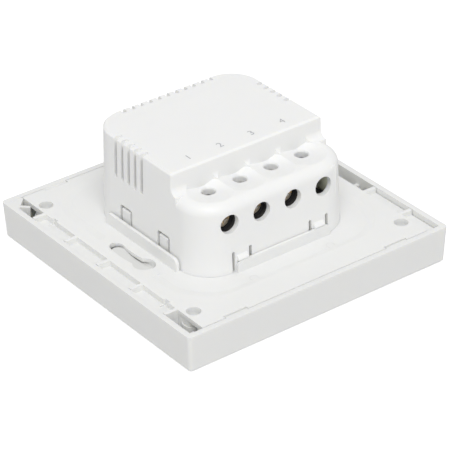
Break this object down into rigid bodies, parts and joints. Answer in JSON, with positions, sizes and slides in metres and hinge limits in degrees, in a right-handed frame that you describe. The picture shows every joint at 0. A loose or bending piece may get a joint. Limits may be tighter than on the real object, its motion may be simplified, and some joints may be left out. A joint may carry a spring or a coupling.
{
  "type": "smart light switch",
  "caption": "Square wall light switch with one rocker, lying face down, with its plate, stepped terminal housing, screw terminals and circuit boards.",
  "frame": {"origin": "centre of the frame's front face, which lies on the ground plane", "axes": "+Z out of the rear towards the wall box, -Y towards the side with the terminals, +X to the right when looking along +Y"},
  "size_m": [0.0808, 0.0808, 0.035],
  "materials": {
    "frame_white": "satin white moulded plastic",
    "rocker_white": "gloss white moulded plastic",
    "window_clear": "clear frosted plastic",
    "plate_white": "satin white moulded plastic",
    "housing_white": "fine satin white moulded plastic",
    "carrier_white": "plain white moulded plastic",
    "small_screw_steel": "zinc-plated steel",
    "board_green": "green solder mask",
    "switch_black": "black moulded plastic",
    "plunger_black": "black moulded plastic",
    "led_white": "clear resin",
    "module_blue": "blue solder mask",
    "shield_tin": "tin-plated steel",
    "plug_black": "black moulded plastic with plated pins",
    "socket_black": "black moulded plastic",
    "sheet_grey": "fibre sheet",
    "board_olive": "olive solder mask",
    "block_black": "black moulded plastic",
    "contact_brass": "plain brass",
    "relay_black": "black moulded plastic",
    "bobbin_amber": "amber tape over winding",
    "core_ferrite": "grey ferrite",
    "can_black": "sleeved can",
    "can_green": "sleeved can",
    "film_yellow": "yellow box",
    "varistor_blue": "blue coated disc",
    "fuse_brown": "brown sleeve",
    "inductor_ferrite": "wound drum core in sleeve",
    "rectifier_black": "black moulded package",
    "terminal_screw_brass": "yellow passivated steel",
    "clamp_steel": "zinc-plated steel"
  },
  "bodies": {
    "switch_body": {"front_frame": "frame_white", "mounting_plate": "plate_white", "rear_housing": "housing_white", "button_carrier": "carrier_white", "carrier_screws": "small_screw_steel", "control_board": "board_green", "tact_switch_body": "switch_black", "status_led": "led_white", "radio_module": "module_blue", "radio_shield": "shield_tin", "board_plug": "plug_black", "board_socket": "socket_black", "insulating_sheet": "sheet_grey", "power_board": "board_olive", "terminal_block": "block_black", "terminal_contacts": "contact_brass", "relay": "relay_black", "transformer_bobbin": "bobbin_amber", "transformer_core": "core_ferrite", "input_capacitor": "can_black", "output_capacitor": "can_green", "film_capacitor": "film_yellow", "varistor": "varistor_blue", "fuse_resistor": "fuse_brown", "inductor": "inductor_ferrite", "rectifier": "rectifier_black"},
    "rocker": {"rocker": "rocker_white", "light_window": "window_clear"},
    "tact_plunger": {"tact_switch_plunger": "plunger_black"},
    "terminal_screw_1": {"terminal_screw_1": "terminal_screw_brass"},
    "wire_clamp_1": {"wire_clamp_1": "clamp_steel"},
    "terminal_screw_2": {"terminal_screw_2": "terminal_screw_brass"},
    "wire_clamp_2": {"wire_clamp_2": "clamp_steel"},
    "terminal_screw_3": {"terminal_screw_3": "terminal_screw_brass"},
    "wire_clamp_3": {"wire_clamp_3": "clamp_steel"}
  },
  "joints": [
    {"name": "rocker_hinge", "type": "hinge", "parent": "switch_body", "child": "rocker", "pos_m": [0, 0.0242, 0.0031], "axis": [-1, 0, 0], "range_deg": [0, 0.6], "stiffness_Nm_per_rad": 4.2, "springref_deg": -0.29},
    {"name": "tact_press", "type": "slide", "parent": "switch_body", "child": "tact_plunger", "axis": [0, 0, 1], "range_m": [0, 0.0005]},
    {"name": "terminal_screw_1_turn", "type": "hinge", "parent": "switch_body", "child": "terminal_screw_1", "pos_m": [-0.01495, -0.02035, 0.0237], "axis": [0, 1, 0], "range_deg": [0, 1728.5]},
    {"name": "wire_clamp_1_slide", "type": "slide", "parent": "switch_body", "child": "wire_clamp_1", "axis": [0, -1, 0], "range_m": [0, 0.0024]},
    {"name": "terminal_screw_2_turn", "type": "hinge", "parent": "switch_body", "child": "terminal_screw_2", "pos_m": [-0.00528, -0.02035, 0.0237], "axis": [0, 1, 0], "range_deg": [0, 1728.5]},
    {"name": "wire_clamp_2_slide", "type": "slide", "parent": "switch_body", "child": "wire_clamp_2", "axis": [0, -1, 0], "range_m": [0, 0.0024]},
    {"name": "terminal_screw_3_turn", "type": "hinge", "parent": "switch_body", "child": "terminal_screw_3", "pos_m": [0.00439, -0.02035, 0.0237], "axis": [0, 1, 0], "range_deg": [0, 1728.5]},
    {"name": "wire_clamp_3_slide", "type": "slide", "parent": "switch_body", "child": "wire_clamp_3", "axis": [0, -1, 0], "range_m": [0, 0.0024]}
  ],
  "couplings": [
    {"joint": "tact_press", "follows": "rocker_hinge", "m_per_rad": 0.0412},
    {"joint": "terminal_screw_1_turn", "follows": "wire_clamp_1_slide", "rad_per_m": 12566},
    {"joint": "terminal_screw_2_turn", "follows": "wire_clamp_2_slide", "rad_per_m": 12566},
    {"joint": "terminal_screw_3_turn", "follows": "wire_clamp_3_slide", "rad_per_m": 12566}
  ]
}
